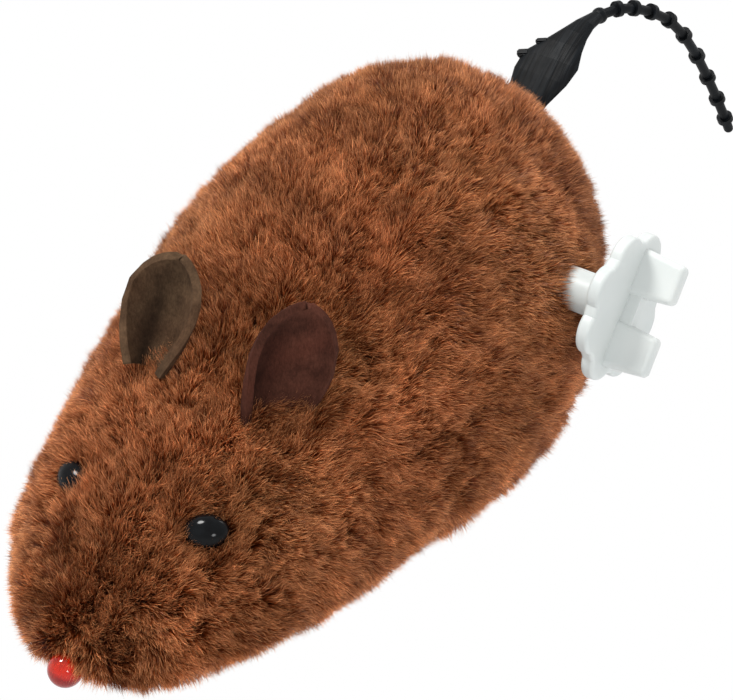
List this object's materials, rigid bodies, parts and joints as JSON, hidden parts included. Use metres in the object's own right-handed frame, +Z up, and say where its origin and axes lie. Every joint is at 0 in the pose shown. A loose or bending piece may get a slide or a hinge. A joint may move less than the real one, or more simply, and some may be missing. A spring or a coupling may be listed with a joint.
{
  "type": "clockwork mouse",
  "caption": "Plush-covered wind-up mouse with bead eyes and nose, suede ears, a ringed tail, a winding key on its side and hidden drive wheels.",
  "frame": {"origin": "on the floor that the wheels stand on, in the mouse's plane of symmetry, half way along its body", "axes": "+Z up, +Y towards the tail with the nose at -Y, +X towards the mouse's left side, where the key is"},
  "size_m": [0.0533, 0.1152, 0.034],
  "materials": {
    "pile_fabric": "short brushed pile, brown with lighter tips",
    "suede": "thin napped suede, dark brown",
    "black_bead": "polished black bead",
    "red_bead": "clear red bead, polished",
    "tail_rubber": "soft moulded, satin black",
    "key_plastic": "moulded white, slightly waxy",
    "shell_plastic": "thin moulded, brown",
    "base_plastic": "moulded, fine texture",
    "case_plastic": "moulded, natural white",
    "gear_plastic": "moulded, slippery natural plastic",
    "wheel_plastic": "moulded black",
    "tyre_rubber": "matt rubber",
    "steel": "bright drawn steel",
    "spring_steel": "blued spring strip"
  },
  "bodies": {
    "mouse": {"body_shell": "shell_plastic", "plush_cover": "pile_fabric", "ear_left": "suede", "ear_right": "suede", "eye_left": "black_bead", "eye_right": "black_bead", "nose_bead": "red_bead", "tail": "tail_rubber", "base_plate": "base_plastic", "base_screws": "steel", "case_left": "case_plastic", "case_right": "case_plastic", "case_screws": "steel", "mainspring": "spring_steel", "spring_post": "steel", "front_axle": "steel"},
    "key": {"winding_key": "key_plastic", "spring_arbor": "steel", "main_wheel": "gear_plastic"},
    "idler": {"idler_gear": "gear_plastic", "idler_shaft": "steel"},
    "drive": {"drive_axle": "steel", "drive_pinion": "gear_plastic", "wheel_left": "wheel_plastic", "wheel_right": "wheel_plastic", "tyre_left": "tyre_rubber", "tyre_right": "tyre_rubber"},
    "front_roller": {"front_wheel": "wheel_plastic"}
  },
  "joints": [
    {"name": "drive_spin", "type": "hinge", "parent": "mouse", "child": "drive", "pos_m": [0, 0.014, 0.009], "axis": [1, 0, 0], "range_deg": [-14817, 0]},
    {"name": "idler_spin", "type": "hinge", "parent": "mouse", "child": "idler", "pos_m": [0, 0.01141, 0.01615], "axis": [1, 0, 0], "range_deg": [0, 5292]},
    {"name": "key_turn", "type": "hinge", "parent": "mouse", "child": "key", "pos_m": [0, 0.0175, 0.0207], "axis": [1, 0, 0], "range_deg": [-1890, 0], "stiffness_Nm_per_rad": 0.0015},
    {"name": "front_wheel_spin", "type": "hinge", "parent": "mouse", "child": "front_roller", "pos_m": [0, -0.022, 0.0045], "axis": [1, 0, 0], "continuous": true}
  ],
  "couplings": [
    {"joint": "idler_spin", "follows": "drive_spin", "ratio": -0.35714},
    {"joint": "key_turn", "follows": "drive_spin", "ratio": 0.12755}
  ]
}
